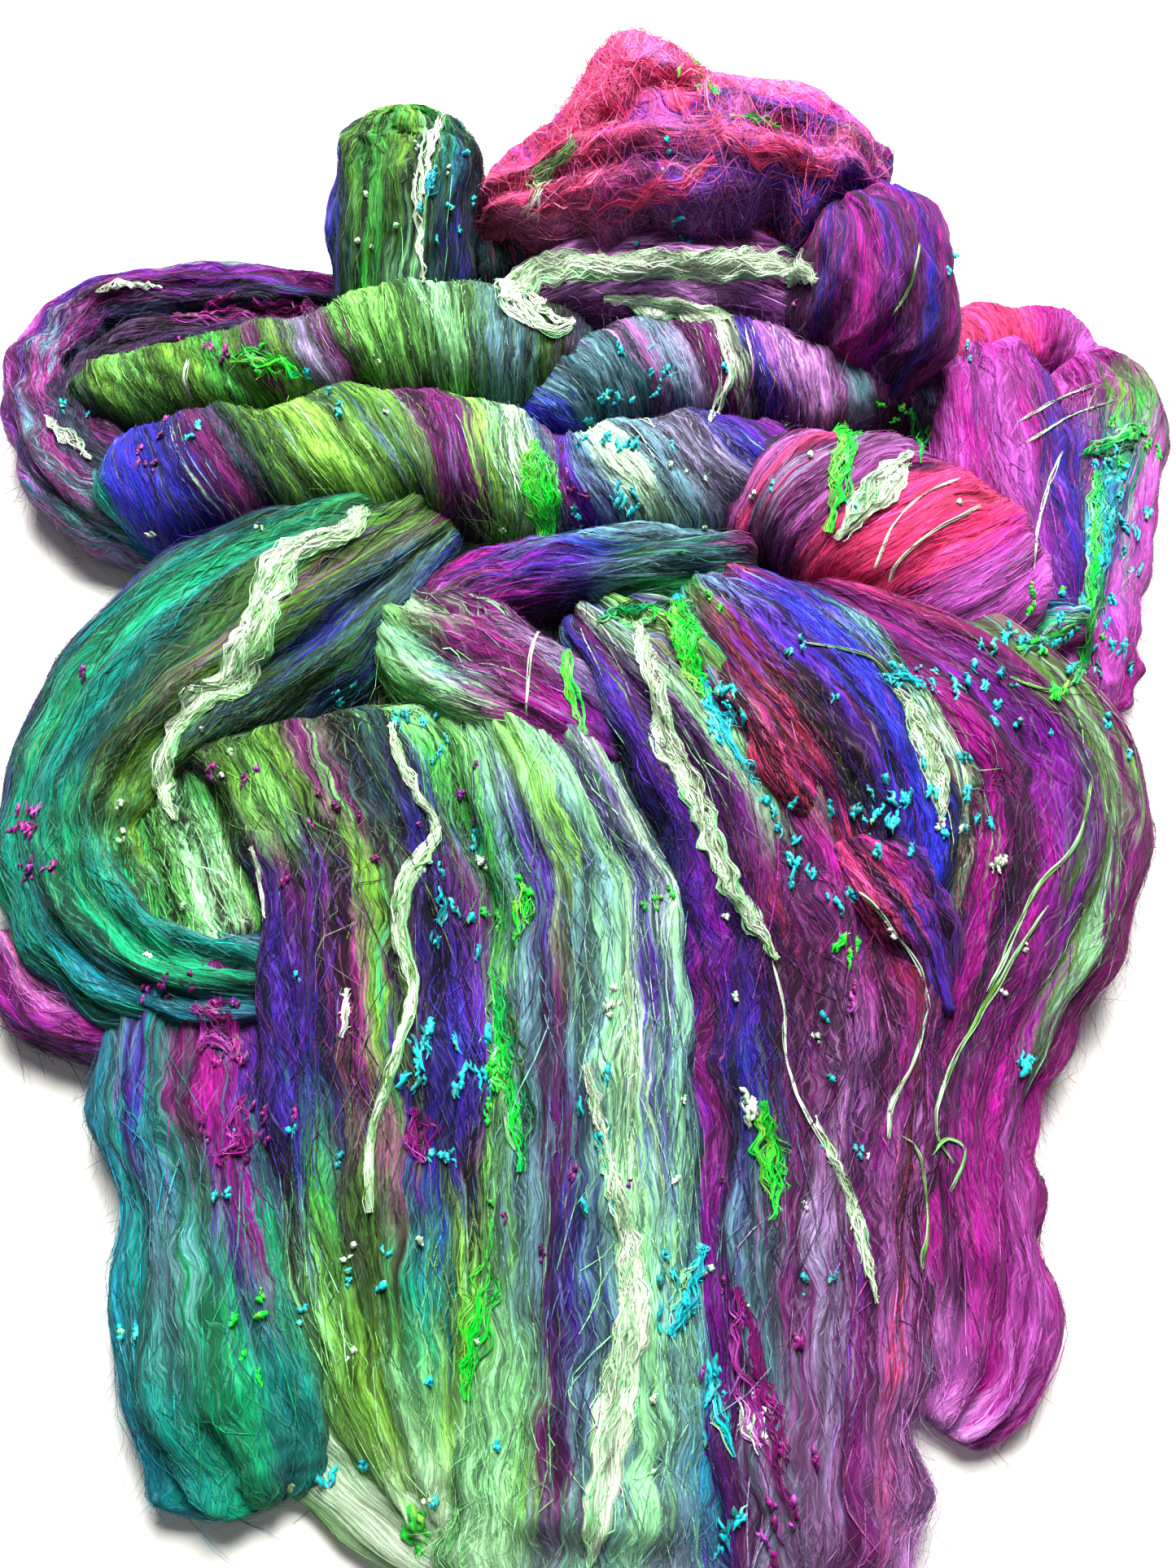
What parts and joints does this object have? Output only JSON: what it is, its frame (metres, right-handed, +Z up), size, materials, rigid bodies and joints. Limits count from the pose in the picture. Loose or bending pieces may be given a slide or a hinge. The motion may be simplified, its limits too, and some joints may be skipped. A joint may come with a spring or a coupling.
{
  "type": "carded wool batt",
  "caption": "Soft batt of blended, carded wool, tumbled in thick rolled folds at the back and spread flat in pleats at the front, with silk strips laid on it.",
  "frame": {"origin": "middle of the batt's outline, on the flat face that it rests on", "axes": "+Z up, +X to the right, +Y towards the heaped folds at the back"},
  "size_m": [0.4856, 0.5366, 0.1202],
  "materials": {
    "wool": "matt, streaked fibre",
    "silk": "soft sheen"
  },
  "bodies": {
    "root": {"wool_batt": "wool", "silk_swath": "silk", "silk_green": "silk", "silk_shelf_top": "silk", "silk_shelf_front": "silk", "silk_crest": "silk", "silk_mint": "silk", "silk_plum": "silk", "silk_roll": "silk", "silk_fan": "silk"}
  },
  "joints": []
}
